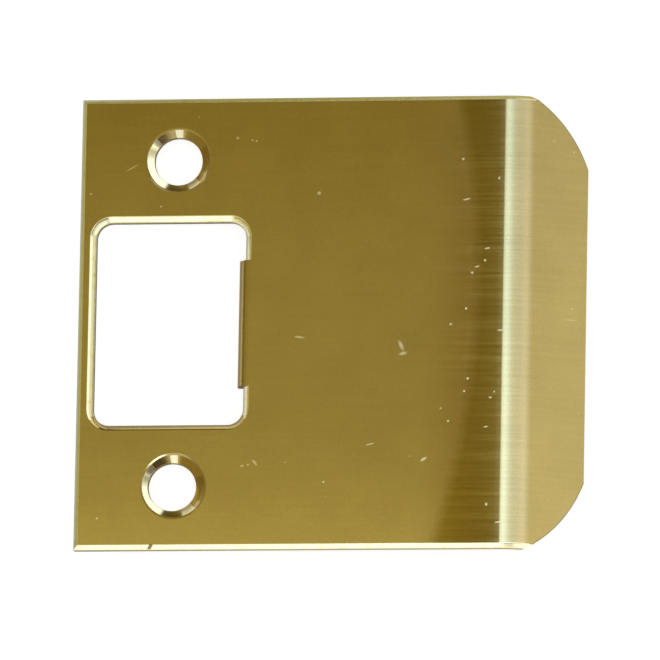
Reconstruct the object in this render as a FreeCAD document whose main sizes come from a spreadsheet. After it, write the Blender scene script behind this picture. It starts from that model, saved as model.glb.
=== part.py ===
import FreeCAD, Part
import math
import os
import Sketcher

# Extended-lip strike plate, stamped and folded from one brass sheet. Millimetres and degrees.
# Origin: midway between the screw holes, on the back face that lies against the door frame.
# +X runs towards the lip, +Y along the plate's height, +Z out of the polished front face.
sizes = [
    ("plate_height", 57.15, "height of the blank along Y"),
    ("sheet_thickness", 1.6, "brass sheet"),
    ("edge_rounding", 0.6, "rolled front edge of the blank"),
    ("rear_to_screws", 12.2, "rear edge to the line of screw holes"),
    ("screw_pitch", 41.275, "centre to centre of the screw holes"),
    ("screw_hole_diameter", 6.0, "clearance hole"),
    ("countersink_diameter", 8.1, "countersink at the front face"),
    ("countersink_angle", 100, "full angle of the countersink"),
    ("mouth_rounding", 0.4, "soft rim of each countersink"),
    ("bend_start", 53.3, "rear edge to the start of the lip's bend"),
    ("bend_inner_radius", 6.0, "bend of the lip, on its back"),
    ("lip_angle", 30, "fall of the lip from the plate"),
    ("lip_length", 7.4, "flat of the lip, from its bend to its tip"),
    ("corner_leg_lip", 7.7, "cut corner of the lip, measured down the lip"),
    ("corner_leg_tip", 8.9, "cut corner of the lip, measured along its tip"),
    ("corner_arc_radius", 16.7, "arc of the cut corner"),
    ("corner_rounding", 0.3, "rolled front edge of the cut corner"),
    ("rear_rail", 2.1, "rear edge to the latch opening"),
    ("opening_width", 18.85, "latch opening along X"),
    ("opening_height", 25.65, "latch opening along Y"),
    ("opening_corner_radius", 2.0, "corners of the latch opening"),
    ("opening_rounding", 0.8, "rolled front edge of the latch opening"),
    ("tang_height", 15.875, "folded tang along Y"),
    ("tang_overhang", 0.9, "face of the tang past the edge of the opening"),
    ("tang_inner_radius", 0.3, "bend of the tang, on its back"),
    ("tang_drop", 1.0, "end of the tang below the back face"),
]

# Places on a sketch element, and the sketch's own axes and origin
START, END, MIDDLE = range(1, 4)
X_AXIS, Y_AXIS = range(-1, -3, -1)
ORIGIN = (X_AXIS, START)
SKETCH_NORMAL = FreeCAD.Vector(0, 0, 1)

# Lengths closer than this are the same, and a face tilted less than 60 degrees looks forward
SAME_LENGTH = 1e-6
FORWARD_SHARE = 0.5

# Lengths that several features share, written in the sheet's sizes
BEND_LINE = "(dims.bend_start - dims.rear_to_screws)"
BEND_OUTER = "(dims.bend_inner_radius + dims.sheet_thickness)"
LIP_FALL = "(dims.lip_angle * 1 deg)"
BEND_RUN = f"({BEND_OUTER} * sin({LIP_FALL}))"
BEND_DROP = f"({BEND_OUTER} * (1 - cos({LIP_FALL})))"
LIP_RUN = f"(dims.lip_length * cos({LIP_FALL}))"
LIP_DROP = f"(dims.lip_length * sin({LIP_FALL}))"
FOLD_OUTER = "(dims.tang_inner_radius + dims.sheet_thickness)"
OPENING_REAR = "(dims.rear_to_screws - dims.rear_rail)"
TANG_FACE = f"(dims.opening_width - dims.tang_overhang - {OPENING_REAR})"
CUT_LENGTH = "(4 * dims.sheet_thickness)"


def make_sheet(doc):
    dims = doc.addObject("Spreadsheet::Sheet", "dims")
    for row, (alias, size, note) in enumerate(sizes, start=1):
        dims.set(f"A{row}", note)
        dims.set(f"B{row}", str(size))
        dims.setAlias(f"B{row}", alias)
    doc.recompute()
    return dims


def origin_plane(body, role):
    return next(plane for plane in body.Origin.OriginFeatures if plane.Role == role)


def make_sketch(body, name, role):
    sketch = body.newObject("Sketcher::SketchObject", name)
    sketch.AttachmentSupport = [(origin_plane(body, role), "")]
    sketch.MapMode = "FlatFace"
    return sketch


def line(sketch, first, last):
    return sketch.addGeometry(Part.LineSegment(FreeCAD.Vector(*first), FreeCAD.Vector(*last)))


# The arc runs anticlockwise about its centre, from the first point to the last
def arc(sketch, centre, first, last):
    middle = FreeCAD.Vector(*centre)
    from_centre = FreeCAD.Vector(*first) - middle
    to_centre = FreeCAD.Vector(*last) - middle
    circle = Part.Circle(middle, SKETCH_NORMAL, from_centre.Length)
    start_angle = math.atan2(from_centre.y, from_centre.x)
    end_angle = math.atan2(to_centre.y, to_centre.x)
    return sketch.addGeometry(Part.ArcOfCircle(circle, start_angle, end_angle))


def relate(sketch, kind, *elements):
    sketch.addConstraint(Sketcher.Constraint(kind, *elements))


# A dimension starts from what is drawn and then follows the sheet
def tie(sketch, name, expression, kind, *elements):
    if kind == "Radius":
        drawn = sketch.Geometry[elements[0]].Radius
    else:
        step = sketch.getPoint(*elements[2:]) - sketch.getPoint(*elements[:2])
        drawn = step.x if kind == "DistanceX" else step.y
    index = sketch.addConstraint(Sketcher.Constraint(kind, *elements, drawn))
    sketch.renameConstraint(index, name)
    sketch.setExpression(f"Constraints.{name}", expression)


def close_loop(sketch, lines):
    for this, following in zip(lines, lines[1:] + lines[:1]):
        relate(sketch, "Coincident", this, END, following, START)


def add_pad(body, name, sketch, length):
    pad = body.newObject("PartDesign::Pad", name)
    pad.Profile = sketch
    pad.SideType = "Symmetric"
    pad.setExpression("Length", length)
    body.Document.recompute()
    return pad


# A cut runs both ways from its sketch, right through the sheet, and has to take metal away
def add_pocket(body, name, sketch):
    volume_before = body.Shape.Volume
    pocket = body.newObject("PartDesign::Pocket", name)
    pocket.Profile = sketch
    pocket.SideType = "Symmetric"
    pocket.setExpression("Length", CUT_LENGTH)
    body.Document.recompute()
    if not pocket.Shape.Volume < volume_before:
        raise RuntimeError(f"{name} cuts nothing")
    return pocket


def add_fillet(body, name, edges, radius):
    if not edges:
        raise RuntimeError(f"{name} has no edges")
    base = body.Tip
    fillet = body.newObject("PartDesign::Fillet", name)
    fillet.Base = (base, edges)
    fillet.setExpression("Radius", radius)
    body.Document.recompute()
    return fillet


def same(first, second):
    return abs(first - second) < SAME_LENGTH


def edge_names(shape, wanted):
    return [f"Edge{number}" for number, edge in enumerate(shape.Edges, start=1) if wanted(edge)]


# Plate, bend and lip look forward; every wall and the whole back look sideways or away
def looks_forward(face):
    first_u, last_u, first_v, last_v = face.ParameterRange
    normal = face.normalAt((first_u + last_u) / 2, (first_v + last_v) / 2)
    return normal.z > FORWARD_SHARE


def is_front_rim(shape, edge):
    sides = [looks_forward(face) for face in shape.ancestorsOfType(edge, Part.Face)]
    return sides.count(True) == 1


def lies_on_front(edge, dims):
    box = edge.BoundBox
    return same(box.ZMin, dims.sheet_thickness) and same(box.ZMax, dims.sheet_thickness)


# Section along X: flat plate, bend and lip, all one thickness
def draw_section(body, dims):
    sketch = make_sketch(body, "section", "XZ_Plane")
    fall = math.radians(dims.lip_angle)
    rear = -dims.rear_to_screws
    thick = dims.sheet_thickness
    bend = rear + dims.bend_start
    inner = dims.bend_inner_radius
    centre = FreeCAD.Vector(bend, -inner)
    across = FreeCAD.Vector(math.sin(fall), math.cos(fall))
    along = FreeCAD.Vector(math.cos(fall), -math.sin(fall))
    back_end = centre + across * inner
    front_end = centre + across * (inner + thick)
    tip_front = front_end + along * dims.lip_length
    tip_back = tip_front - across * thick

    back = line(sketch, (rear, 0), (bend, 0))
    back_bend = arc(sketch, centre, back_end, (bend, 0))
    lip_back = line(sketch, back_end, tip_back)
    tip = line(sketch, tip_back, tip_front)
    lip_front = line(sketch, tip_front, front_end)
    front_bend = arc(sketch, centre, front_end, (bend, thick))
    front = line(sketch, (bend, thick), (rear, thick))
    rear_edge = line(sketch, (rear, thick), (rear, 0))

    relate(sketch, "Tangent", back, END, back_bend, END)
    relate(sketch, "Tangent", back_bend, START, lip_back, START)
    relate(sketch, "Coincident", lip_back, END, tip, START)
    relate(sketch, "Perpendicular", tip, END, lip_front, START)
    relate(sketch, "Tangent", lip_front, END, front_bend, START)
    relate(sketch, "Tangent", front_bend, END, front, START)
    relate(sketch, "Coincident", front, END, rear_edge, START)
    relate(sketch, "Coincident", rear_edge, END, back, START)
    relate(sketch, "Coincident", back_bend, MIDDLE, front_bend, MIDDLE)
    relate(sketch, "Parallel", lip_back, lip_front)
    relate(sketch, "Horizontal", back)
    relate(sketch, "Horizontal", front)
    relate(sketch, "Vertical", rear_edge)
    relate(sketch, "PointOnObject", back, START, X_AXIS)
    tie(sketch, "rear", "dims.rear_to_screws", "DistanceX", back, START, *ORIGIN)
    tie(sketch, "thickness", "dims.sheet_thickness", "DistanceY", rear_edge, END, rear_edge, START)
    tie(sketch, "bend_line", "dims.bend_start", "DistanceX", front, END, front, START)
    tie(sketch, "inner_radius", "dims.bend_inner_radius", "Radius", back_bend)
    tie(sketch, "bend_run", BEND_RUN, "DistanceX", front_bend, END, front_bend, START)
    tie(sketch, "lip_run", LIP_RUN, "DistanceX", front_bend, START, tip, END)
    return sketch


# One corner of the lip, drawn on the lip's own face: origin on its tip, x down the lip
def draw_lip_corner(body, dims):
    sketch = make_sketch(body, "lip_corner", "XY_Plane")
    turn = FreeCAD.Rotation(FreeCAD.Vector(0, 1, 0), dims.lip_angle)
    sketch.AttachmentOffset = FreeCAD.Placement(FreeCAD.Vector(), turn)
    sketch.setExpression("AttachmentOffset.Rotation.Angle", LIP_FALL)
    sketch.setExpression("AttachmentOffset.Base.x", f"{BEND_LINE} + {BEND_RUN} + {LIP_RUN}")
    sketch.setExpression("AttachmentOffset.Base.z", f"dims.sheet_thickness - {BEND_DROP} - {LIP_DROP}")

    top = dims.plate_height / 2
    margin = dims.sheet_thickness
    on_top = FreeCAD.Vector(-dims.corner_leg_lip, top)
    on_tip = FreeCAD.Vector(0, top - dims.corner_leg_tip)
    chord = on_tip - on_top
    inwards = FreeCAD.Vector(chord.y, -chord.x) / chord.Length
    rise = math.sqrt(dims.corner_arc_radius**2 - (chord.Length / 2) ** 2)
    centre = (on_top + on_tip) / 2 + inwards * rise

    curve = arc(sketch, centre, on_tip, on_top)
    lower = line(sketch, on_tip, (margin, on_tip.y))
    outer = line(sketch, (margin, on_tip.y), (margin, top + margin))
    upper = line(sketch, (margin, top + margin), (on_top.x, top + margin))
    inner = line(sketch, (on_top.x, top + margin), on_top)

    relate(sketch, "Coincident", curve, START, lower, START)
    relate(sketch, "Coincident", lower, END, outer, START)
    relate(sketch, "Coincident", outer, END, upper, START)
    relate(sketch, "Coincident", upper, END, inner, START)
    relate(sketch, "Coincident", inner, END, curve, END)
    relate(sketch, "Horizontal", lower)
    relate(sketch, "Vertical", outer)
    relate(sketch, "Horizontal", upper)
    relate(sketch, "Vertical", inner)
    relate(sketch, "PointOnObject", curve, START, Y_AXIS)
    tie(sketch, "top_edge", "dims.plate_height / 2", "DistanceY", *ORIGIN, curve, END)
    tie(sketch, "leg_lip", "dims.corner_leg_lip", "DistanceX", curve, END, *ORIGIN)
    tie(sketch, "leg_tip", "dims.corner_leg_tip", "DistanceY", curve, START, curve, END)
    tie(sketch, "arc_radius", "dims.corner_arc_radius", "Radius", curve)
    tie(sketch, "past_tip", "dims.sheet_thickness", "DistanceX", lower, START, lower, END)
    tie(sketch, "past_top", "dims.sheet_thickness", "DistanceY", inner, END, inner, START)
    return sketch


# Latch opening: a rectangle with round corners, even about the X axis
def draw_opening(body, dims):
    sketch = make_sketch(body, "latch_opening", "XY_Plane")
    left = dims.rear_rail - dims.rear_to_screws
    right = left + dims.opening_width
    top = dims.opening_height / 2
    round_by = dims.opening_corner_radius

    low = line(sketch, (left + round_by, -top), (right - round_by, -top))
    lip_side = line(sketch, (right, round_by - top), (right, top - round_by))
    high = line(sketch, (right - round_by, top), (left + round_by, top))
    rear_side = line(sketch, (left, top - round_by), (left, round_by - top))
    sides = [low, lip_side, high, rear_side]
    corners = []
    for x, y, first, last in (
        (right - round_by, round_by - top, (right - round_by, -top), (right, round_by - top)),
        (right - round_by, top - round_by, (right, top - round_by), (right - round_by, top)),
        (left + round_by, top - round_by, (left + round_by, top), (left, top - round_by)),
        (left + round_by, round_by - top, (left, round_by - top), (left + round_by, -top)),
    ):
        corners.append(arc(sketch, (x, y), first, last))

    for side, corner, following in zip(sides, corners, sides[1:] + sides[:1]):
        relate(sketch, "Tangent", side, END, corner, START)
        relate(sketch, "Tangent", corner, END, following, START)
    for corner in corners[1:]:
        relate(sketch, "Equal", corners[0], corner)
    relate(sketch, "Horizontal", low)
    relate(sketch, "Horizontal", high)
    relate(sketch, "Vertical", lip_side)
    relate(sketch, "Vertical", rear_side)
    tie(sketch, "corner_radius", "dims.opening_corner_radius", "Radius", corners[0])
    tie(sketch, "rear_side", OPENING_REAR, "DistanceX", rear_side, START, *ORIGIN)
    tie(sketch, "width", "dims.opening_width", "DistanceX", rear_side, START, lip_side, START)
    tie(sketch, "above", "dims.opening_height / 2", "DistanceY", *ORIGIN, high, START)
    tie(sketch, "below", "dims.opening_height / 2", "DistanceY", low, START, *ORIGIN)
    return sketch


# Sheared notch that frees the tang's bend from the plate on both sides
def draw_notch(body, dims):
    sketch = make_sketch(body, "tang_notch", "XY_Plane")
    face = dims.rear_rail - dims.rear_to_screws + dims.opening_width - dims.tang_overhang
    bend = face + dims.tang_inner_radius + dims.sheet_thickness
    top = dims.tang_height / 2
    low = line(sketch, (face, -top), (bend, -top))
    inner = line(sketch, (bend, -top), (bend, top))
    high = line(sketch, (bend, top), (face, top))
    outer = line(sketch, (face, top), (face, -top))
    close_loop(sketch, [low, inner, high, outer])
    relate(sketch, "Horizontal", low)
    relate(sketch, "Horizontal", high)
    relate(sketch, "Vertical", inner)
    relate(sketch, "Vertical", outer)
    tie(sketch, "face", TANG_FACE, "DistanceX", *ORIGIN, low, START)
    tie(sketch, "fold", FOLD_OUTER, "DistanceX", low, START, low, END)
    tie(sketch, "above", "dims.tang_height / 2", "DistanceY", *ORIGIN, high, START)
    tie(sketch, "below", "dims.tang_height / 2", "DistanceY", low, START, *ORIGIN)
    return sketch


# Section of the tang: the sheet folded square to the back
def draw_tang(body, dims):
    sketch = make_sketch(body, "tang_section", "XZ_Plane")
    thick = dims.sheet_thickness
    inner = dims.tang_inner_radius
    face = dims.rear_rail - dims.rear_to_screws + dims.opening_width - dims.tang_overhang
    bend = face + inner + thick
    centre = (bend, -inner)

    outer_bend = arc(sketch, centre, (bend, thick), (face, -inner))
    outer_face = line(sketch, (face, -inner), (face, -dims.tang_drop))
    tang_end = line(sketch, (face, -dims.tang_drop), (face + thick, -dims.tang_drop))
    inner_face = line(sketch, (face + thick, -dims.tang_drop), (face + thick, -inner))
    inner_bend = arc(sketch, centre, (bend, 0), (face + thick, -inner))
    root = line(sketch, (bend, 0), (bend, thick))

    relate(sketch, "Tangent", outer_bend, END, outer_face, START)
    relate(sketch, "Coincident", outer_face, END, tang_end, START)
    relate(sketch, "Coincident", tang_end, END, inner_face, START)
    relate(sketch, "Tangent", inner_face, END, inner_bend, END)
    relate(sketch, "Coincident", inner_bend, START, root, START)
    relate(sketch, "Coincident", root, END, outer_bend, START)
    relate(sketch, "Coincident", inner_bend, MIDDLE, outer_bend, MIDDLE)
    relate(sketch, "Vertical", outer_face)
    relate(sketch, "Horizontal", tang_end)
    relate(sketch, "Vertical", inner_face)
    relate(sketch, "Vertical", root)
    relate(sketch, "PointOnObject", inner_bend, START, X_AXIS)
    tie(sketch, "face", TANG_FACE, "DistanceX", *ORIGIN, outer_face, START)
    tie(sketch, "fold", FOLD_OUTER, "DistanceX", outer_face, START, root, START)
    tie(sketch, "thickness", "dims.sheet_thickness", "DistanceY", root, START, root, END)
    tie(sketch, "inner_radius", "dims.tang_inner_radius", "Radius", inner_bend)
    tie(sketch, "drop", "dims.tang_drop", "DistanceY", outer_face, END, *ORIGIN)
    return sketch


# Both screw holes, drawn on the front face
def draw_screw_holes(body, dims):
    sketch = make_sketch(body, "screw_centres", "XY_Plane")
    sketch.setExpression("AttachmentOffset.Base.z", "dims.sheet_thickness")
    radius = dims.screw_hole_diameter / 2
    offset = FreeCAD.Vector(0, dims.screw_pitch / 2)
    upper = sketch.addGeometry(Part.Circle(offset, SKETCH_NORMAL, radius))
    lower = sketch.addGeometry(Part.Circle(-offset, SKETCH_NORMAL, radius))
    relate(sketch, "Equal", upper, lower)
    relate(sketch, "PointOnObject", upper, MIDDLE, Y_AXIS)
    relate(sketch, "PointOnObject", lower, MIDDLE, Y_AXIS)
    tie(sketch, "hole_radius", "dims.screw_hole_diameter / 2", "Radius", upper)
    tie(sketch, "above", "dims.screw_pitch / 2", "DistanceY", *ORIGIN, upper, MIDDLE)
    tie(sketch, "below", "dims.screw_pitch / 2", "DistanceY", lower, MIDDLE, *ORIGIN)
    return sketch


def cut_lip_corners(body, dims):
    corner = add_pocket(body, "lip_corner_cut", draw_lip_corner(body, dims))
    mirrored = body.newObject("PartDesign::Mirrored", "lip_corner_cuts")
    mirrored.Originals = [corner]
    mirrored.MirrorPlane = (origin_plane(body, "XZ_Plane"), [""])
    body.Tip = mirrored
    body.Document.recompute()


# The stamping die rolls the front edge of the blank
def roll_outline(body):
    shape = body.Shape
    rim = edge_names(shape, lambda edge: is_front_rim(shape, edge))
    add_fillet(body, "outline_rounding", rim, "dims.edge_rounding")


def is_rolled(face, dims):
    surface = face.Surface
    if isinstance(surface, Part.Toroid):
        return same(surface.MinorRadius, dims.edge_rounding)
    return isinstance(surface, Part.Cylinder) and same(surface.Radius, dims.edge_rounding)


def is_cut_corner(face, dims):
    surface = face.Surface
    return isinstance(surface, Part.Cylinder) and same(surface.Radius, dims.corner_arc_radius)


# The rim of a cut corner crosses the lip and the rolled edges on both sides of it
def roll_lip_corners(body, dims):
    shape = body.Shape

    def on_rim(edge):
        faces = shape.ancestorsOfType(edge, Part.Face)
        cut = [face for face in faces if is_cut_corner(face, dims)]
        others = [face for face in faces if not is_cut_corner(face, dims)]
        return bool(cut) and any(looks_forward(face) or is_rolled(face, dims) for face in others)

    add_fillet(body, "lip_corner_rounding", edge_names(shape, on_rim), "dims.corner_rounding")


def cut_opening(body, dims):
    add_pocket(body, "latch_opening_cut", draw_opening(body, dims))
    left = dims.rear_rail - dims.rear_to_screws
    middle = left + dims.opening_width / 2

    def on_opening(edge):
        centre = edge.BoundBox.Center
        inside_x = abs(centre.x - middle) < dims.opening_width / 2 + SAME_LENGTH
        inside_y = abs(centre.y) < dims.opening_height / 2 + SAME_LENGTH
        return lies_on_front(edge, dims) and inside_x and inside_y

    rim = edge_names(body.Shape, on_opening)
    add_fillet(body, "opening_rounding", rim, "dims.opening_rounding")


def fold_tang(body, dims):
    add_pocket(body, "tang_notch_cut", draw_notch(body, dims))
    add_pad(body, "tang", draw_tang(body, dims), "dims.tang_height")


def sink_screw_holes(body, dims):
    sketch = draw_screw_holes(body, dims)
    body.Document.recompute()
    volume_before = body.Shape.Volume
    hole = body.newObject("PartDesign::Hole", "screw_holes")
    hole.Profile = sketch
    body.Document.recompute()
    hole.ThreadType = "None"
    hole.DepthType = "ThroughAll"
    hole.HoleCutType = "Countersink"
    hole.HoleCutCustomValues = True
    hole.setExpression("Diameter", "dims.screw_hole_diameter")
    hole.setExpression("HoleCutDiameter", "dims.countersink_diameter")
    hole.setExpression("HoleCutCountersinkAngle", "dims.countersink_angle * 1 deg")
    body.Document.recompute()
    if not hole.Shape.Volume < volume_before:
        raise RuntimeError("screw_holes cut nothing")

    def is_mouth(edge):
        if not isinstance(edge.Curve, Part.Circle) or not lies_on_front(edge, dims):
            return False
        return same(edge.Curve.Radius, dims.countersink_diameter / 2)

    add_fillet(body, "mouth_rounding", edge_names(body.Shape, is_mouth), "dims.mouth_rounding")


def check(doc, body):
    for item in doc.Objects:
        if "Invalid" in item.State or "Error" in item.State:
            raise RuntimeError(f"{item.Name} failed: {item.State}")
    shape = body.Shape
    if shape.isNull() or not shape.isValid() or len(shape.Solids) != 1:
        raise RuntimeError(f"{body.Label} is not one sound solid")


doc = FreeCAD.newDocument("strike_plate")
dims = make_sheet(doc)
plate = doc.addObject("PartDesign::Body", "strike_plate")
plate.Label = "strike_plate"
plate.Placement = FreeCAD.Placement()

add_pad(plate, "folded_sheet", draw_section(plate, dims), "dims.plate_height")
roll_outline(plate)
cut_lip_corners(plate, dims)
roll_lip_corners(plate, dims)
cut_opening(plate, dims)
fold_tang(plate, dims)
sink_screw_holes(plate, dims)

check(doc, plate)
os.makedirs("parts", exist_ok=True)
plate.Shape.exportStep(f"parts/{plate.Label}.step")
box = plate.Shape.optimalBoundingBox()
print(f"{plate.Label}: {box.XLength:.3f} x {box.YLength:.3f} x {box.ZLength:.3f} mm")
print(f"volume {plate.Shape.Volume:.1f} mm3, lowest point {box.ZMin:.3f} mm")
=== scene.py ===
import math

import bpy
from mathutils import Matrix, Vector


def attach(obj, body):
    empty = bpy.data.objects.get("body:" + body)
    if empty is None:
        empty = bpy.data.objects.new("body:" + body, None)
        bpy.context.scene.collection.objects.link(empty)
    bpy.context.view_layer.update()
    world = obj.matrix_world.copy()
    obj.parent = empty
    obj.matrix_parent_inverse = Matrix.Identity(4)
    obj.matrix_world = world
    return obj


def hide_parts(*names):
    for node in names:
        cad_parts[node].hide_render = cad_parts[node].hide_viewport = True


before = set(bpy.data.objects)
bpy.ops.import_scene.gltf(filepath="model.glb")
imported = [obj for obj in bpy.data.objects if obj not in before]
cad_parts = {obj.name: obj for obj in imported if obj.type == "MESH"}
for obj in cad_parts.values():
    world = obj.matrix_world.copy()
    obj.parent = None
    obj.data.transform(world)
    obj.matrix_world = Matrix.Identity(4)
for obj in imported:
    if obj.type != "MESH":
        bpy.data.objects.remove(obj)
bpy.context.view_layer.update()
mm = 0.001  # every length below is in millimetres
print("frame loaded")


def hexToLinear(code):
    channels = [int(code[i:i + 2], 16) / 255 for i in (1, 3, 5)]
    linear = [c / 12.92 if c <= 0.04045 else ((c + 0.055) / 1.055) ** 2.4 for c in channels]
    return (*linear, 1.0)


def addNode(tree, kind, settings=None, links=None):
    node = tree.nodes.new(kind)
    for name, value in (settings or {}).items():
        if isinstance(name, int) or name in node.inputs:
            node.inputs[name].default_value = value
        else:
            setattr(node, name, value)
    for name, source in (links or {}).items():
        tree.links.new(source, node.inputs[name])
    return node


def newMaterial(name):
    material = bpy.data.materials.new(name)
    material.use_nodes = True
    material.node_tree.nodes.clear()
    return material


# 1 where a surface is seen, straight or in the brass, and 0 where it only gives light
def whereSeen(tree, rays):
    mirrored = addNode(tree, "ShaderNodeMath", {"operation": "MAXIMUM"},
                       {0: rays.outputs["Is Camera Ray"], 1: rays.outputs["Is Glossy Ray"]})
    return addNode(tree, "ShaderNodeMath", {"operation": "MAXIMUM"},
                   {0: mirrored.outputs[0], 1: rays.outputs["Is Transmission Ray"]})


# camera: nearly square on to the plate, a little from below and from the lip's side
photoView = {
    "aim": (19.606, -1.074, 1.6),
    "tiltX": -10.74,
    "tiltY": -8.3,
    "roll": -1.065,
    "distance": 1500,
    "pixelsPerMm": 8.048,
    "pixels": 660,
    "sensorWidth": 36,
    "nearest": 100,
    "farthest": 20000,
}


def placeCamera(view):
    turn = Matrix.Rotation(math.radians(view["roll"]), 3, "Z")
    turn = turn @ Matrix.Rotation(math.radians(view["tiltX"]), 3, "X")
    turn = turn @ Matrix.Rotation(math.radians(view["tiltY"]), 3, "Y")
    aim = Vector(view["aim"]) * mm
    back = Vector(turn[2])
    bpy.ops.object.camera_add()
    camera = bpy.context.object
    camera.name = "photoCamera"
    camera.location = aim + back * view["distance"] * mm
    camera.rotation_euler = turn.transposed().to_euler()
    camera.data.sensor_width = view["sensorWidth"]
    pictureWidth = view["pixels"] / view["pixelsPerMm"]
    camera.data.lens = view["distance"] / pictureWidth * view["sensorWidth"]
    camera.data.clip_start = view["nearest"] * mm
    camera.data.clip_end = view["farthest"] * mm
    bpy.context.scene.camera = camera


placeCamera(photoView)
print("camera placed")

# white paper that the plate lies on, touching its rear edge and the tip of its lip
paper = {
    "rearEdge": -12.2,
    "lipTip": 50.51,
    "lipDrop": 4.504,
    "gap": 0.02,
    "width": 6000,
    "grey": "#d9d9d9",
    "glow": 0.82,
    "closeShare": 0.2,
    "darkWithin": 6.5,
    "whiteBeyond": 18,
}


# matt white paper: its own grey takes the shadows, and a glow brings the open part up to white, but
# not the part close under the plate, which the edges mirror dark
def whitePaper(settings):
    material = newMaterial("mattWhitePaper")
    tree = material.node_tree
    rays = addNode(tree, "ShaderNodeLightPath")
    away = addNode(tree, "ShaderNodeMapRange", {
        "From Min": settings["darkWithin"] * mm,
        "From Max": settings["whiteBeyond"] * mm,
        "To Min": settings["glow"] * settings["closeShare"],
        "To Max": settings["glow"],
    }, {"Value": rays.outputs["Ray Length"]})
    strength = addNode(tree, "ShaderNodeMath", {"operation": "MULTIPLY"},
                       {0: whereSeen(tree, rays).outputs[0], 1: away.outputs[0]})
    glow = addNode(tree, "ShaderNodeEmission", None, {"Strength": strength.outputs[0]})
    matt = addNode(tree, "ShaderNodeBsdfDiffuse", {"Color": hexToLinear(settings["grey"])})
    both = addNode(tree, "ShaderNodeAddShader", None, {0: glow.outputs[0], 1: matt.outputs[0]})
    addNode(tree, "ShaderNodeOutputMaterial", None, {"Surface": both.outputs[0]})
    return material


def paperFall(settings):
    return math.atan2(settings["lipDrop"], settings["lipTip"] - settings["rearEdge"])


def layPaper(settings):
    bpy.ops.mesh.primitive_plane_add(size=settings["width"] * mm)
    floor = bpy.context.object
    floor.name = "paper"
    middle = (settings["rearEdge"] + settings["lipTip"]) / 2
    floor.location = (middle * mm, 0, (-settings["lipDrop"] / 2 - settings["gap"]) * mm)
    floor.rotation_euler = (0, paperFall(settings), 0)
    floor.data.materials.append(whitePaper(settings))


layPaper(paper)
print("paper laid")

# white room: plain soft light from all round, and white wherever the paper ends
room = {"light": 0.5, "white": 1.0}


def lightRoom(settings):
    world = bpy.data.worlds.new("whiteRoom")
    bpy.context.scene.world = world
    world.use_nodes = True
    tree = world.node_tree
    tree.nodes.clear()
    rays = addNode(tree, "ShaderNodeLightPath")
    soft = addNode(tree, "ShaderNodeBackground", {"Strength": settings["light"]})
    white = addNode(tree, "ShaderNodeBackground", {"Strength": settings["white"]})
    both = addNode(tree, "ShaderNodeMixShader", None, {
        0: whereSeen(tree, rays).outputs[0],
        1: soft.outputs[0],
        2: white.outputs[0],
    })
    addNode(tree, "ShaderNodeOutputWorld", None, {"Surface": both.outputs[0]})


lightRoom(room)
print("room lit")

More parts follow.
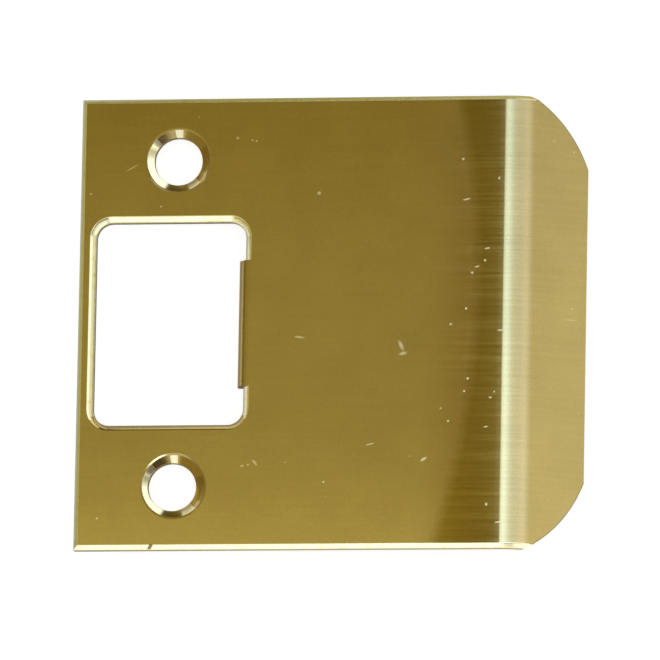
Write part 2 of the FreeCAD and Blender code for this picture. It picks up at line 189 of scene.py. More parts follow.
# cards that the brass mirrors, each with its shades from one end to the other
cards = {
    # overhead, for the flat, the bend and the lip
    "ceilingCard": {
        "at": (-14, 13.4, 70), "size": (76, 90), "along": "Y",
        "shades": {0.16: "#d6cf97", 0.25: "#c2b97d", 0.36: "#b5ac73", 0.6: "#b0a66c",
                   0.82: "#a09252"},
    },
    "brownFlag": {
        "at": (29, 15, 69), "size": (11, 140), "slant": -0.6,
        "shades": {0.0: "#b0a56a", 0.2: "#a4955a", 0.5: "#968341", 1.0: "#907c35"},
    },
    "tubeLamp": {
        "at": (42, 45, 198), "size": (84, 320), "slant": -1.4, "strength": 3.2,
        "shades": {0.2: "#b2cafb", 0.62: "#b2cafb", 0.78: "#a6bce8", 0.95: "#9aadd2"},
    },
    "lipScreen": {
        "at": (212, 60, 198), "size": (256, 400), "slant": -1.5, "strength": 1.55,
        "shades": {0.0: "#d4e1ff", 0.11: "#cad7f4", 0.22: "#ccd7f2", 0.39: "#d8e0f8",
                   0.51: "#d6ddf2", 0.62: "#c8cedc", 0.79: "#c1c2b4"},
    },
    # standing round the plate, for its rounded edges and screw seats
    "lipFlag": {
        "at": (480, 90, 62), "face": "plate", "size": (260, 120),
        "shades": {0.0: "#deded0"},
    },
    "nearSoftbox": {
        "at": (-131, -900, 200), "face": "plate", "size": (330, 430), "strength": 1.4,
        "shades": {0.0: "#d0d0d0", 0.2: "#ffffff", 0.8: "#ffffff", 1.0: "#d0d0d0"},
    },
    "lowStrip": {
        "at": (350, -290, 55), "face": "plate", "size": (640, 130), "strength": 1.3,
        "shades": {0.0: "#ffffff"},
    },
    "lipSoftbox": {
        "at": (470, 220, 205), "face": "plate", "size": (300, 140), "strength": 1.4,
        "shades": {0.0: "#ffffff"},
    },
    "cornerSoftbox": {
        "at": (270, 440, 125), "face": "plate", "size": (330, 160), "strength": 1.4,
        "shades": {0.0: "#ffffff"},
    },
    "rightFlag": {
        "at": (430, -400, 320), "face": "plate", "size": (1100, 120),
        "shades": {0.0: "#4c3c1a"},
    },
    "leftFlag": {
        "at": (-430, -430, 215), "face": "plate", "size": (800, 190),
        "shades": {0.0: "#ffffff", 0.12: "#f0e8c8", 0.24: "#a39358"},
    },
    "lowLeftFlag": {
        "at": (-430, -430, 45), "face": "plate", "size": (800, 150),
        "shades": {0.0: "#ffffff", 0.35: "#e8e0b8", 0.65: "#a8a070"},
    },
    "leftCeiling": {
        "at": (-260, 30, 300), "face": "plate", "size": (400, 360),
        "shades": {0.0: "#a8a070"},
    },
    "farCeiling": {
        "at": (0, 330, 290), "face": "plate", "size": (520, 330),
        "shades": {0.0: "#a8a070"},
    },
    "rearFlag": {
        "at": (-500, 90, 90), "face": "plate", "size": (420, 260),
        "shades": {0.0: "#8f7d48"},
    },
    "farFlag": {
        "at": (-60, 520, 90), "face": "plate", "size": (340, 260),
        "shades": {0.0: "#4a3d1c"},
    },
    # lying on the paper, for the lower half of the edges, the olive ones a painted shadow beside the
    # plate
    "nearBounce": {
        "at": (20, -124, -2.1), "face": "up", "size": (100, 190),
        "shades": {0.0: "#ffffff"},
    },
    # painted shadow: olive sheets where the paper beside the plate lies in its shade
    "leftPaintedShadow": {
        "at": (-54, 0, 3.05), "face": "up", "size": (76, 130),
        "shades": {0.0: "#a3a179"},
    },
    "topPaintedShadow": {
        "at": (20, 84, -2.2), "face": "up", "size": (110, 100),
        "shades": {0.0: "#938e5e", 0.5: "#9c9666", 0.8: "#c0b88a"},
    },
}
plateMiddle = (20, 0, 0)


def cardFace(name, settings):
    material = newMaterial(name + "Face")
    tree = material.node_tree
    place = addNode(tree, "ShaderNodeTexCoord")
    parts = addNode(tree, "ShaderNodeSeparateXYZ", None, {0: place.outputs["Object"]})
    share = addNode(tree, "ShaderNodeMath", {"operation": "ADD", 1: 0.5},
                    {0: parts.outputs[settings.get("along", "X")]})
    ramp = addNode(tree, "ShaderNodeValToRGB", None, {0: share.outputs[0]})
    stops = ramp.color_ramp.elements
    while len(stops) < len(settings["shades"]):
        stops.new(0.5)
    while len(stops) > len(settings["shades"]):
        stops.remove(stops[-1])
    for stop, (position, code) in zip(stops, sorted(settings["shades"].items())):
        stop.position = position
        stop.color = hexToLinear(code)
    slant = addNode(tree, "ShaderNodeMath",
                    {"operation": "MULTIPLY_ADD", 1: settings.get("slant", 0), 2: 1.0},
                    {0: parts.outputs["Y"]})
    strength = addNode(tree, "ShaderNodeMath",
                       {"operation": "MULTIPLY", 1: settings.get("strength", 1.0)},
                       {0: slant.outputs[0]})
    glow = addNode(tree, "ShaderNodeEmission", None,
                   {"Color": ramp.outputs[0], "Strength": strength.outputs[0]})
    addNode(tree, "ShaderNodeOutputMaterial", None, {"Surface": glow.outputs[0]})
    return material


def hangCard(name, settings):
    bpy.ops.mesh.primitive_plane_add(size=1)
    card = bpy.context.object
    card.name = name
    card.location = Vector(settings["at"]) * mm
    if settings.get("face") == "up":
        card.rotation_euler = (0, paperFall(paper), 0)
    if settings.get("face") == "plate":
        towards = Vector(plateMiddle) - Vector(settings["at"])
        card.rotation_euler = towards.to_track_quat("Z", "Y").to_euler()
    card.scale = (settings["size"][0] * mm, settings["size"][1] * mm, 1)
    card.data.materials.append(cardFace(name, settings))
    card.visible_camera = False
    card.visible_diffuse = False
    card.visible_shadow = False


for cardName, cardSettings in cards.items():
    hangCard(cardName, cardSettings)
print("cards hung")

slack = 0.01  # a point this near to a line counts as on it


def selectFaces(piece, wanted):
    bpy.ops.object.mode_set(mode="EDIT")
    bpy.ops.mesh.select_mode(type="FACE")
    bpy.ops.mesh.select_all(action="DESELECT")
    bpy.ops.object.mode_set(mode="OBJECT")
    for face in piece.data.polygons:
        face.select = wanted(face.center / mm, face.normal)
    bpy.ops.object.mode_set(mode="EDIT")


def selectEdges(piece, wanted):
    bpy.ops.object.mode_set(mode="EDIT")
    bpy.ops.mesh.select_mode(type="EDGE")
    bpy.ops.mesh.select_all(action="DESELECT")
    bpy.ops.object.mode_set(mode="OBJECT")
    points = [vert.co / mm for vert in piece.data.vertices]
    for edge in piece.data.edges:
        edge.select = wanted(points[edge.vertices[0]], points[edge.vertices[1]])
    bpy.ops.object.mode_set(mode="EDIT")


def applyModifier(piece, kind, settings):
    bpy.ops.object.mode_set(mode="OBJECT")
    bpy.context.view_layer.objects.active = piece
    modifier = piece.modifiers.new(kind.lower(), kind)
    for name, value in settings.items():
        setattr(modifier, name, value)
    bpy.ops.object.modifier_apply(modifier=modifier.name)


def cutAway(piece, cutter):
    applyModifier(piece, "BOOLEAN",
                  {"operation": "DIFFERENCE", "object": cutter, "solver": "EXACT"})
    bpy.data.objects.remove(cutter)


def addBlock(low, high):
    bpy.ops.object.select_all(action="DESELECT")
    bpy.ops.mesh.primitive_cube_add(size=1, enter_editmode=True)
    block = bpy.context.object
    size = [(b - a) * mm for a, b in zip(low, high)]
    middle = [(a + b) / 2 * mm for a, b in zip(low, high)]
    bpy.ops.transform.resize(value=size, center_override=(0, 0, 0))
    bpy.ops.transform.translate(value=middle)
    return block


# strike plate: one brass sheet, bent at its lip, with a tang folded out of its latch opening
sheet = {
    "rear": -12.2,
    "bendLine": 41.1,
    "height": 57.15,
    "thickness": 1.6,
    "bendRadius": 7.6,
    "bendSteps": 24,
    "lipAngle": 30,
    "lipLength": 7.23,
    "cornerDownLip": 7.7,
    "cornerAlongTip": 8.9,
    "cornerRadius": 16.7,
    "cornerSteps": 512,
    "cornerCutter": {"past": 2, "deep": 4, "hollow": 20},
    "cutBelow": -3,
    "cutAbove": 4,
}


def bendSheet(settings):
    bpy.ops.object.select_all(action="DESELECT")
    bpy.ops.mesh.primitive_plane_add(size=1, enter_editmode=True)
    plate = bpy.context.object
    plate.name = "brassPlate"
    bendLine, thickness = settings["bendLine"], settings["thickness"]
    length = bendLine - settings["rear"]
    bpy.ops.transform.resize(value=(length * mm, settings["height"] * mm, 1),
                             center_override=(0, 0, 0))
    bpy.ops.transform.translate(value=((settings["rear"] + length / 2) * mm, 0, thickness * mm))
    selectEdges(plate, lambda a, b: min(a.x, b.x) > bendLine - slack)
    fall = math.radians(settings["lipAngle"])
    bpy.ops.mesh.spin(steps=settings["bendSteps"], angle=-fall, axis=(0, 1, 0),
                      center=(bendLine * mm, 0, (thickness - settings["bendRadius"]) * mm))
    lip = Vector((math.cos(fall), 0, -math.sin(fall))) * settings["lipLength"] * mm
    bpy.ops.mesh.extrude_region_move(TRANSFORM_OT_translate={"value": lip})
    selectFaces(plate, lambda middle, normal: normal.z < 0)
    bpy.ops.mesh.flip_normals()
    applyModifier(plate, "SOLIDIFY",
                  {"thickness": thickness * mm, "offset": -1, "use_even_offset": True})
    return plate


# the lip's two corners: a block with a hollow side, turned to the lip's slope, cuts each in an arc
def cutCorners(plate, settings):
    fall = math.radians(settings["lipAngle"])
    bend, lip = settings["bendRadius"], settings["lipLength"]
    tipX = settings["bendLine"] + bend * math.sin(fall) + lip * math.cos(fall)
    tipZ = settings["thickness"] - bend * (1 - math.cos(fall)) - lip * math.sin(fall)
    down, along = settings["cornerDownLip"], settings["cornerAlongTip"]
    radius = settings["cornerRadius"]
    chord = math.hypot(down, along)
    rise = math.sqrt(radius ** 2 - (chord / 2) ** 2)
    top = settings["height"] / 2
    centerX = -down / 2 - rise * along / chord
    centerY = top - along / 2 - rise * down / chord
    cutter = settings["cornerCutter"]
    for side in (1, -1):
        block = addBlock((-down, top - along, -cutter["deep"]),
                         (cutter["past"], top + cutter["past"], cutter["past"]))
        bpy.ops.object.mode_set(mode="OBJECT")
        bpy.ops.object.select_all(action="DESELECT")
        bpy.ops.mesh.primitive_cylinder_add(
            vertices=settings["cornerSteps"], radius=radius * mm, depth=cutter["hollow"] * mm,
            location=(centerX * mm, centerY * mm, 0))
        cutAway(block, bpy.context.object)
        bpy.ops.object.mode_set(mode="EDIT")
        bpy.ops.mesh.select_all(action="SELECT")
        if side < 0:
            bpy.ops.transform.mirror(constraint_axis=(False, True, False),
                                     center_override=(0, 0, 0))
            bpy.ops.mesh.flip_normals()
        bpy.ops.transform.rotate(value=-fall, orient_axis="Y", center_override=(0, 0, 0))
        bpy.ops.transform.translate(value=(tipX * mm, 0, tipZ * mm))
        bpy.ops.object.mode_set(mode="OBJECT")
        cutAway(plate, block)


latchOpening = {
    "left": -10.1,
    "right": 8.75,
    "height": 25.65,
    "cornerRadius": 2.0,
    "cornerSteps": 12,
    "zone": {"left": -11, "right": 12, "half": 14},
}


def cutOpening(plate, settings):
    half = settings["height"] / 2
    block = addBlock((settings["left"], -half, sheet["cutBelow"]),
                     (settings["right"], half, sheet["cutAbove"]))
    selectEdges(block, lambda a, b: abs(a.z - b.z) > sheet["thickness"])
    bpy.ops.mesh.bevel(offset=settings["cornerRadius"] * mm, segments=settings["cornerSteps"],
                       affect="EDGES")
    cutAway(plate, block)


def nearOpening(p):
    zone = latchOpening["zone"]
    return abs(p.y) < zone["half"] and zone["left"] < p.x < zone["right"]


# screw holes: each cone's mouth lies a little nearer to the lip than its hole, the lower one's more
screwHole = {
    "pitch": 41.275,
    "radius": 3.0,
    "mouthRadius": 4.05,
    "mouthShift": {1: 0.12, -1: 0.3},
    "coneAngle": 106,
    "coneTop": 3.0,
    "drillLength": 10,
    "steps": 96,
    "zone": 5,
}


def cutScrewHoles(plate, settings):
    slope = math.tan(math.radians(settings["coneAngle"] / 2))
    front, top, mouth = sheet["thickness"], settings["coneTop"], settings["mouthRadius"]
    for side, shift in settings["mouthShift"].items():
        middle = side * settings["pitch"] / 2
        bpy.ops.object.mode_set(mode="OBJECT")
        bpy.ops.object.select_all(action="DESELECT")
        bpy.ops.mesh.primitive_cylinder_add(
            vertices=settings["steps"], radius=settings["radius"] * mm,
            depth=settings["drillLength"] * mm, location=(0, middle * mm, 0))
        cutAway(plate, bpy.context.object)
        bpy.ops.mesh.primitive_cone_add(
            vertices=settings["steps"], radius1=(mouth - front * slope) * mm,
            radius2=(mouth + (top - front) * slope) * mm, depth=top * mm,
            location=(shift * mm, middle * mm, top / 2 * mm))
        cutAway(plate, bpy.context.object)


def fromHoleAxis(p):
    return math.hypot(p.x, abs(p.y) - screwHole["pitch"] / 2)


def nearScrewHole(p):
    return fromHoleAxis(p) < screwHole["zone"]


def onHoleWall(p):
    return abs(fromHoleAxis(p) - screwHole["radius"]) < 2 * slack


# rounded edges: wide on the outline and the opening, small elsewhere
rounding = {
    "side": 0.6,
    "tip": 0.1,
    "opening": 0.8,
    "mouth": 0.16,
    "throat": 0.06,
    "throatAbove": 0.2,
    "back": 0.12,
    "steps": 8,
    "profile": 0.29,
    "corner": 0.14,
    "cornerSteps": 3,
    "cornerReach": 6.7,
    "cornerSlack": 0.001,
}
faceTilt = 0.8  # a normal that has this much of a direction counts as facing that way


def selectRim(plate, normalSide, wanted):
    selectFaces(plate, lambda middle, normal: normal.z * normalSide > faceTilt)
    bpy.ops.mesh.region_to_loop()
    bpy.ops.object.mode_set(mode="OBJECT")
    points = [vert.co / mm for vert in plate.data.vertices]
    for edge in plate.data.edges:
        if edge.select:
            edge.select = wanted((points[edge.vertices[0]] + points[edge.vertices[1]]) / 2)
    bpy.ops.object.mode_set(mode="EDIT")


def farthestX(plate):
    return max(vert.co.x for vert in plate.data.vertices) / mm


def roundEdges(plate, settings):
    tipX = farthestX(plate) - slack
    groups = {
        "side": lambda p: not nearScrewHole(p) and not nearOpening(p) and p.x < tipX,
        "tip": lambda p: p.x >= tipX,
        "opening": nearOpening,
        "mouth": nearScrewHole,
    }
    widest = max(settings[name] for name in groups)
    for name, wanted in groups.items():
        selectRim(plate, 1, wanted)
        bpy.ops.transform.edge_bevelweight(value=settings[name] / widest)
    selectEdges(plate, lambda a, b: onHoleWall(a) and onHoleWall(b)
                and min(a.z, b.z) > settings["throatAbove"])
    bpy.ops.transform.edge_bevelweight(value=settings["throat"] / widest)
    selectRim(plate, -1, lambda p: True)
    bpy.ops.transform.edge_bevelweight(value=settings["back"] / widest)
    applyModifier(plate, "BEVEL", {
        "width": widest * mm,
        "segments": settings["steps"],
        "limit_method": "WEIGHT",
        "profile": settings["profile"],
        "loop_slide": False,
        "use_clamp_overlap": False,
    })


def roundCorners(plate, settings):
    top = sheet["height"] / 2
    high = top - settings["side"] - settings["cornerSlack"]
    low = top - sheet["cornerAlongTip"]
    cornerX = farthestX(plate) - settings["cornerReach"]
    selectRim(plate, 1, lambda p: p.x > cornerX and low < abs(p.y) < high)
    bpy.ops.mesh.bevel(offset=settings["corner"] * mm, segments=settings["cornerSteps"],
                       affect="EDGES", clamp_overlap=False)
    bpy.ops.object.mode_set(mode="OBJECT")


# small cut that a knock left in the lower edge
nick = {"at": (-2.7, -28.5), "width": 0.4, "length": 1.4, "floor": 1.1, "top": 3, "angle": 38}


def nickEdge(plate, settings):
    half, length = settings["width"] / 2, settings["length"] / 2
    block = addBlock((-half, -length, settings["floor"]), (half, length, settings["top"]))
    bpy.ops.transform.rotate(value=math.radians(settings["angle"]), orient_axis="Z",
                             center_override=(0, 0, 0))
    bpy.ops.transform.translate(value=(settings["at"][0] * mm, settings["at"][1] * mm, 0))
    cutAway(plate, block)


# tang: the sheet is cut back to where the fold starts, and its cut face is turned and drawn down
tang = {
    "face": 7.85,
    "bend": 9.75,
    "height": 15.875,
    "innerRadius": 0.3,
    "drop": 1.0,
    "foldAngle": 90,
    "steps": 16,
    "cutBefore": 1,
    "margin": 0.1,
}


def foldTang(plate, settings):
    half, bend, radius = settings["height"] / 2, settings["bend"], settings["innerRadius"]
    notch = addBlock((settings["face"] - settings["cutBefore"], -half, sheet["cutBelow"]),
                     (bend, half, sheet["cutAbove"]))
    cutAway(plate, notch)
    selectFaces(plate, lambda middle, normal: abs(middle.x - bend) < slack
                and normal.x < -faceTilt and abs(middle.y) < half)
    bpy.ops.mesh.spin(steps=settings["steps"], angle=math.radians(settings["foldAngle"]),
                      axis=(0, 1, 0), center=(bend * mm, 0, -radius * mm))
    down = (0, 0, (radius - settings["drop"]) * mm)
    bpy.ops.mesh.extrude_region_move(TRANSFORM_OT_translate={"value": down})
    bpy.ops.object.mode_set(mode="OBJECT")


def onTang(p):
    inFold = tang["face"] - tang["margin"] < p.x < tang["bend"]
    return inFold and abs(p.y) < tang["height"] / 2


# smooth shading, with the cones true and the flat a true mirror up to its rims
smoothing = {
    "weld": 0.0001,
    "sharpAngle": 40,
    "faceWeight": 100,
    "coneTilt": (0.75, 0.83),
    "flatTilt": 0.99999,
}


def smoothPlate(plate, settings):
    bpy.ops.object.mode_set(mode="EDIT")
    bpy.ops.mesh.select_all(action="SELECT")
    bpy.ops.mesh.remove_doubles(threshold=settings["weld"] * mm)
    bpy.ops.mesh.normals_make_consistent(inside=False)
    bpy.ops.object.mode_set(mode="OBJECT")
    bpy.ops.object.select_all(action="DESELECT")
    plate.select_set(True)
    bpy.context.view_layer.objects.active = plate
    bpy.ops.object.shade_smooth_by_angle(angle=math.radians(settings["sharpAngle"]))
    applyModifier(plate, "WEIGHTED_NORMAL",
                  {"keep_sharp": True, "weight": settings["faceWeight"]})
    low, high = settings["coneTilt"]
    selectFaces(plate, lambda middle, normal: nearScrewHole(middle) and low < normal.z < high)
    bpy.ops.mesh.set_normals_from_faces(keep_sharp=True)
    selectFaces(plate, lambda middle, normal: abs(normal.z) > settings["flatTilt"])
    bpy.ops.mesh.set_normals_from_faces(keep_sharp=True)
    bpy.ops.object.mode_set(mode="OBJECT")


plate = bendSheet(sheet)
cutOpening(plate, latchOpening)
cutScrewHoles(plate, screwHole)
roundEdges(plate, rounding)
cutCorners(plate, sheet)
roundCorners(plate, rounding)
nickEdge(plate, nick)
foldTang(plate, tang)
smoothPlate(plate, smoothing)
print("plate modelled")

# polished brass sheet: a warm yellow mirror, dulled by fine buffing lines along the plate, with dust
# and short scratches on it, and a band beside the bend with painted shade, a dark reflection in its
# colour
brass = {
    "color": "#c8b274",
    # the darker colour below is painted shade, a dark reflection painted in beside the bend
    "paintedShadeColor": "#b09a4a",
    "paintedShadeAndLinesDisc": {"at": (-72, 5), "radius": 110, "soft": 0.8, "bend": 41.0,
                   "colorEnds": (-0.6, 0.6), "linesEnd": (2, 4.5)},
    "lines": {"length": 14, "spacing": 0.45, "detail": 3.0, "unevenness": 0.6,
              "shadeOnFlat": 0.1, "shadeInBand": 0.35, "relief": 0.25},
    "clouds": {"size": 6, "detail": 3.0, "shade": 0.04},
    "grain": {"size": 0.22, "detail": 1.0, "shade": 0.035},
    "roughness": {"smooth": 0.1, "lined": 0.15, "dust": 0.4},
    "relief": {"Strength": 0.5, "Distance": 0.01 * mm},
    "dustColor": "#efe0ac",
    "dustSpacing": 1.3,
    "dustRarity": 0.88,
    "dustSize": 0.14,
    "dustSharpness": 7.0,
}
noiseRange = {"From Min": 0.3, "From Max": 0.7}  # where most of a noise pattern's values lie
noiseMiddle = 0.5
anyDepth = 10000  # stretches a spot so far down that only its place on the face counts

# scratches and dust that stand out: place, half length, half width, angle, how plain
marks = [
    (17.93, 16.31, 0.34, 0.30, 0, 1.5),
    (15.79, -1.93, 0.85, 0.20, -8, 1.5),
    (28.55, -3.1, 0.95, 0.32, -64, 1.2),
    (28.8, -4.1, 0.7, 0.28, 12, 1.2),
    (31.61, -17.44, 0.6, 0.22, 32, 1.5),
    (10.46, -17.73, 0.6, 0.2, -50, 1.5),
    (8.87, -18.13, 0.3, 0.16, 10, 1.5),
    (9.61, -17.98, 0.2, 0.16, 0, 1.5),
    (24.88, -15.51, 0.75, 0.12, 14, 1.5),
    (19.13, -20.23, 0.22, 0.2, 0, 1.5),
    (7.53, 23.41, 0.25, 0.22, 0, 1.5),
    (9.41, 23.12, 0.18, 0.16, 0, 1.5),
    (9.92, 23.01, 0.18, 0.16, 0, 1.5),
    (-5.69, 19.76, 1.25, 0.1, 28, 1.5),
    (-10.88, 16.49, 0.22, 0.2, 0, 1.5),
    (-1.97, 14.8, 0.18, 0.2, 0, 1.5),
    (-9.23, -24.63, 0.2, 0.22, 0, 1.5),
    (36.95, -7.33, 0.22, 0.22, 0, 1.0),
    (36.53, -8.92, 0.18, 0.18, 0, 1.0),
    (39.8, -9.74, 0.24, 0.16, 12, 1.0),
    (34.59, -12.67, 0.2, 0.2, 0, 1.0),
    (33.64, -11.06, 0.2, 0.16, 40, 1.0),
    (39.3, -13.42, 0.35, 0.12, 12, 1.0),
    (39.51, -23.18, 0.2, 0.26, 0, 1.0),
    (41.0, -25.41, 0.5, 0.14, 8, 1.0),
    (35.94, 20.45, 0.22, 0.22, 0, 1.0),
    (40.5, 17.98, 0.18, 0.24, 0, 1.0),
    (36.46, 15.33, 0.65, 0.14, 12, 1.0),
    (38.88, 7.58, 0.22, 0.2, 0, 1.0),
    (37.89, 6.79, 0.42, 0.13, 18, 1.0),
    (37.3, 6.03, 0.24, 0.18, 0, 1.0),
    (39.15, 9.1, 0.45, 0.13, 9, 1.0),
    (36.61, 1.51, 0.22, 0.22, 0, 1.0),
    (34.73, -0.46, 0.22, 0.2, 0, 1.0),
    (40.9, -1.26, 0.45, 0.13, 3, 1.0),
    (47.05, 23.03, 0.22, 0.22, 0, 0.3),
    (49.19, 0.58, 1.2, 0.14, -2, 0.3),
    (50.4, -11.01, 0.16, 0.22, 0, 0.3),
]


# band beside the bend: outside a wide disc, painted shade in its colour (a painted dark reflection)
# up to where the lip turns down, and its plainer buffing lines a little further
def paintedShadeAndLinesBand(tree, point, disc):
    parts = addNode(tree, "ShaderNodeSeparateXYZ", None, {0: point.outputs[0]})
    fromDisc = addNode(tree, "ShaderNodeMapping", {
        "vector_type": "TEXTURE",
        "Location": (*disc["at"], 0),
        "Scale": (disc["radius"], disc["radius"], anyDepth),
    }, {"Vector": point.outputs[0]})
    fromDisc = addNode(tree, "ShaderNodeVectorMath", {"operation": "LENGTH"},
                       {0: fromDisc.outputs[0]})
    edge = disc["soft"] / disc["radius"]
    outside = addNode(tree, "ShaderNodeMapRange", {"From Min": 1 - edge, "From Max": 1 + edge},
                      {"Value": fromDisc.outputs["Value"]})
    bands = []
    for start, end in (disc["colorEnds"], disc["linesEnd"]):
        before = addNode(tree, "ShaderNodeMapRange", {
            "From Min": disc["bend"] + end,
            "From Max": disc["bend"] + start,
        }, {"Value": parts.outputs["X"]})
        bands.append(addNode(tree, "ShaderNodeMath", {"operation": "MULTIPLY"},
                             {0: outside.outputs[0], 1: before.outputs[0]}))
    return bands


# dust: a grain here and there, none twice the same size, and over it the marks that stand out
def dustAndScratches(tree, point, settings, spots):
    grains = addNode(tree, "ShaderNodeTexVoronoi", {"Scale": 1 / settings["dustSpacing"]},
                     {"Vector": point.outputs[0]})
    chance = addNode(tree, "ShaderNodeSeparateColor", None, {0: grains.outputs["Color"]})
    size = addNode(tree, "ShaderNodeMapRange", {
        "From Min": settings["dustRarity"],
        "From Max": 1.0,
        "To Max": settings["dustSize"],
    }, {"Value": chance.outputs[0]})
    dust = addNode(tree, "ShaderNodeMath", {"operation": "SUBTRACT"},
                   {0: size.outputs[0], 1: grains.outputs["Distance"]})
    dust = addNode(tree, "ShaderNodeMath",
                   {"operation": "MULTIPLY", 1: settings["dustSharpness"], "use_clamp": True},
                   {0: dust.outputs[0]})
    for x, y, halfLength, halfWidth, angle, plain in spots:
        spot = addNode(tree, "ShaderNodeMapping", {
            "vector_type": "TEXTURE",
            "Location": (x, y, 0),
            "Rotation": (0, 0, math.radians(angle)),
            "Scale": (halfLength, halfWidth, anyDepth),
        }, {"Vector": point.outputs[0]})
        spot = addNode(tree, "ShaderNodeTexGradient", {"gradient_type": "SPHERICAL"},
                       {0: spot.outputs[0]})
        spot = addNode(tree, "ShaderNodeMath",
                       {"operation": "MULTIPLY", 1: plain, "use_clamp": True},
                       {0: spot.outputs["Fac"]})
        dust = addNode(tree, "ShaderNodeMath", {"operation": "MAXIMUM"},
                       {0: dust.outputs[0], 1: spot.outputs[0]})
    return dust


def polishedBrass(settings, spots):
    material = newMaterial("polishedBrassSheet")
    tree = material.node_tree
    place = addNode(tree, "ShaderNodeTexCoord")
    point = addNode(tree, "ShaderNodeMapping", {"Scale": (1 / mm, 1 / mm, 1 / mm)},
                    {"Vector": place.outputs["Object"]})
    paintedShade, lined = paintedShadeAndLinesBand(tree, point, settings["paintedShadeAndLinesDisc"])
    dust = dustAndScratches(tree, point, settings, spots)

    # buffing lines and grain, drawn a little coarser than real ones so that they show
    buffing = settings["lines"]
    along, across = 1 / buffing["length"], 1 / buffing["spacing"]
    lines = addNode(tree, "ShaderNodeMapping", {"Scale": (along, across, along)},
                    {"Vector": point.outputs[0]})
    lines = addNode(tree, "ShaderNodeTexNoise", {
        "Scale": 1.0,
        "Detail": buffing["detail"],
        "Roughness": buffing["unevenness"],
    }, {"Vector": lines.outputs[0]})
    depth = addNode(tree, "ShaderNodeMapRange", {
        "To Min": buffing["shadeOnFlat"],
        "To Max": buffing["shadeInBand"],
    }, {"Value": lined.outputs[0]})
    shade = addNode(tree, "ShaderNodeMath", {"operation": "SUBTRACT", 1: noiseMiddle},
                    {0: lines.outputs["Fac"]})
    shade = addNode(tree, "ShaderNodeMath", {"operation": "MULTIPLY_ADD", 2: 1.0},
                    {0: shade.outputs[0], 1: depth.outputs[0]})
    for patch in (settings["clouds"], settings["grain"]):
        tone = addNode(tree, "ShaderNodeTexNoise",
                       {"Scale": 1 / patch["size"], "Detail": patch["detail"]},
                       {"Vector": point.outputs[0]})
        tone = addNode(tree, "ShaderNodeMapRange", {
            **noiseRange,
            "To Min": 1 - patch["shade"],
            "To Max": 1 + patch["shade"],
        }, {"Value": tone.outputs["Fac"]})
        shade = addNode(tree, "ShaderNodeMath", {"operation": "MULTIPLY"},
                        {0: shade.outputs[0], 1: tone.outputs[0]})

    # colour: the band's painted shade, then the shade of lines and grain, and dust on top
    color = addNode(tree, "ShaderNodeMix", {
        "data_type": "RGBA",
        6: hexToLinear(settings["color"]),
        7: hexToLinear(settings["paintedShadeColor"]),
    }, {0: paintedShade.outputs[0]})
    color = addNode(tree, "ShaderNodeHueSaturation", None,
                    {"Color": color.outputs[2], "Value": shade.outputs[0]})
    color = addNode(tree, "ShaderNodeMix",
                    {"data_type": "RGBA", 7: hexToLinear(settings["dustColor"])},
                    {0: dust.outputs[0], 6: color.outputs[0]})

    # roughness and relief: lines and dust scatter more and stand up a little
    rough = settings["roughness"]
    dull = addNode(tree, "ShaderNodeMapRange", {
        **noiseRange,
        "To Min": rough["smooth"],
        "To Max": rough["lined"],
    }, {"Value": lines.outputs["Fac"]})
    dull = addNode(tree, "ShaderNodeMath",
                   {"operation": "MULTIPLY_ADD", 1: rough["dust"], "use_clamp": True},
                   {0: dust.outputs[0], 2: dull.outputs[0]})
    raised = addNode(tree, "ShaderNodeMath", {"operation": "MULTIPLY_ADD", 1: buffing["relief"]},
                     {0: lines.outputs["Fac"], 2: dust.outputs[0]})
    bump = addNode(tree, "ShaderNodeBump", settings["relief"], {"Height": raised.outputs[0]})
    shader = addNode(tree, "ShaderNodeBsdfPrincipled", {"Metallic": 1.0}, {
        "Base Color": color.outputs[2],
        "Roughness": dull.outputs[0],
        "Normal": bump.outputs[0],
    })
    addNode(tree, "ShaderNodeOutputMaterial", None, {"Surface": shader.outputs[0]})
    return material


# painted highlight on rounded edges and screw seats: paler and brighter than the flat, standing in
# for lamp reflections there
paintedHighlightEdge = {
    "color": "#fff8cc",
    "wornColor": "#f3e7ac",
    "cloudSize": 1.5,
    "cloudDetail": 3.0,
    "worn": {"From Min": 0.25, "From Max": 0.45},
    "roughness": {"worn": 0.19, "bright": 0.13},
    "tilt": (0.2, 0.93),
    "seatTilt": 0.85,
    "topFacet": 0.06,
    "lowerSide": 0.3,
    "rimWidth": 0.675,
}


def paintedHighlightBrass(settings):
    material = newMaterial("paintedHighlightBrassEdge")
    tree = material.node_tree
    place = addNode(tree, "ShaderNodeTexCoord")
    clouds = addNode(tree, "ShaderNodeTexNoise", {
        "Scale": 1 / (settings["cloudSize"] * mm),
        "Detail": settings["cloudDetail"],
    }, {"Vector": place.outputs["Object"]})
    bright = addNode(tree, "ShaderNodeMapRange", settings["worn"],
                     {"Value": clouds.outputs["Fac"]})
    color = addNode(tree, "ShaderNodeMix", {
        "data_type": "RGBA",
        6: hexToLinear(settings["wornColor"]),
        7: hexToLinear(settings["color"]),
    }, {0: bright.outputs[0]})
    dull = addNode(tree, "ShaderNodeMapRange", {
        "To Min": settings["roughness"]["worn"],
        "To Max": settings["roughness"]["bright"],
    }, {"Value": clouds.outputs["Fac"]})
    shader = addNode(tree, "ShaderNodeBsdfPrincipled", {"Metallic": 1.0}, {
        "Base Color": color.outputs[2],
        "Roughness": dull.outputs[0],
    })
    addNode(tree, "ShaderNodeOutputMaterial", None, {"Surface": shader.outputs[0]})
    return material


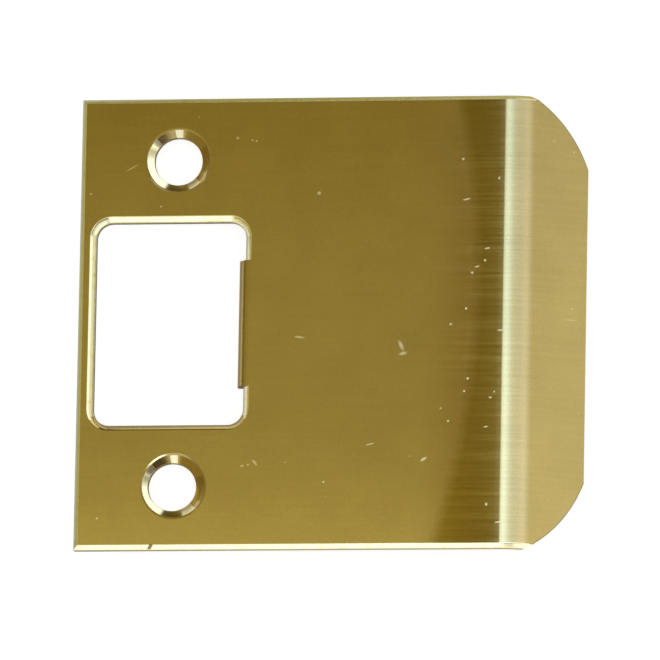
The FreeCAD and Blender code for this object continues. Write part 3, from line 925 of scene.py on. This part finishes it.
# where the painted highlight goes: rims all round, but not the opening's lower side, and of each
# screw seat the lower left half and one narrow facet at the top
def isPaintedHighlight(middle, normal):
    low, high = paintedHighlightEdge["tilt"]
    if onTang(middle) or not low < normal.z < high:
        return False
    if nearScrewHole(middle):
        facesHighlight = normal.x + normal.y > 0 or abs(normal.x) < paintedHighlightEdge["topFacet"]
        return normal.z < paintedHighlightEdge["seatTilt"] and facesHighlight
    if nearOpening(middle):
        return normal.y < paintedHighlightEdge["lowerSide"]
    side = sheet["height"] / 2 - paintedHighlightEdge["rimWidth"]
    return abs(middle.y) > side or middle.x < sheet["rear"] + paintedHighlightEdge["rimWidth"]


# sheared brass edge: what the stamping die left, browner and dull, with short lines through the
# thickness
shearedEdge = {
    "name": "shearedBrassEdge",
    "color": "#b8a878",
    "darkColor": "#8a7a4c",
    "roughness": 0.5,
    "lineSize": (0.25, 0.25, 2.5),
    "lineDetail": 2.0,
    "relief": {"Strength": 0.4, "Distance": 0.02 * mm},
    "tangTilt": 0.6,
    "wallTilt": 0.2,
    "lipTilt": 0.8,
    "lipStart": 4,
}
# rolled brass back: the mill finish of the sheet, greyer, with faint rolling lines up the plate
rolledBack = {
    "name": "rolledBrassBack",
    "color": "#b8a468",
    "darkColor": "#9c8850",
    "roughness": 0.34,
    "lineSize": (0.5, 25, 0.5),
    "lineDetail": 4.0,
    "relief": {"Strength": 0.3, "Distance": 0.01 * mm},
}


def linedBrass(settings):
    material = newMaterial(settings["name"])
    tree = material.node_tree
    place = addNode(tree, "ShaderNodeTexCoord")
    scale = [1 / (size * mm) for size in settings["lineSize"]]
    point = addNode(tree, "ShaderNodeMapping", {"Scale": scale},
                    {"Vector": place.outputs["Object"]})
    lines = addNode(tree, "ShaderNodeTexNoise", {"Scale": 1.0, "Detail": settings["lineDetail"]},
                    {"Vector": point.outputs[0]})
    color = addNode(tree, "ShaderNodeMix", {
        "data_type": "RGBA",
        6: hexToLinear(settings["darkColor"]),
        7: hexToLinear(settings["color"]),
    }, {0: lines.outputs["Fac"]})
    bump = addNode(tree, "ShaderNodeBump", settings["relief"], {"Height": lines.outputs["Fac"]})
    shader = addNode(tree, "ShaderNodeBsdfPrincipled",
                     {"Metallic": 1.0, "Roughness": settings["roughness"]},
                     {"Base Color": color.outputs[2], "Normal": bump.outputs[0]})
    addNode(tree, "ShaderNodeOutputMaterial", None, {"Surface": shader.outputs[0]})
    return material


def isSheared(middle, normal):
    if onTang(middle):
        return abs(normal.y) > shearedEdge["tangTilt"]
    onLip = middle.x > sheet["bendLine"] + shearedEdge["lipStart"]
    return abs(normal.z) < shearedEdge["lipTilt" if onLip else "wallTilt"]


def isRolled(middle, normal):
    return normal.z < -faceTilt


def finishFaces(plate, material, wanted):
    selectFaces(plate, wanted)
    plate.active_material_index = plate.data.materials.find(material.name)
    bpy.ops.object.material_slot_assign()
    bpy.ops.object.mode_set(mode="OBJECT")


polished = polishedBrass(brass, marks)
sheared = linedBrass(shearedEdge)
rolled = linedBrass(rolledBack)
paintedHighlight = paintedHighlightBrass(paintedHighlightEdge)
for material in (polished, sheared, rolled, paintedHighlight):
    plate.data.materials.append(material)
# rims and screw seats get the painted highlight
finishFaces(plate, paintedHighlight, isPaintedHighlight)
finishFaces(plate, sheared, isSheared)
finishFaces(plate, rolled, isRolled)
print("plate finished")

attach(plate, "root")
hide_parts("strike_plate")

bpy.context.scene.view_settings.view_transform = "Standard"
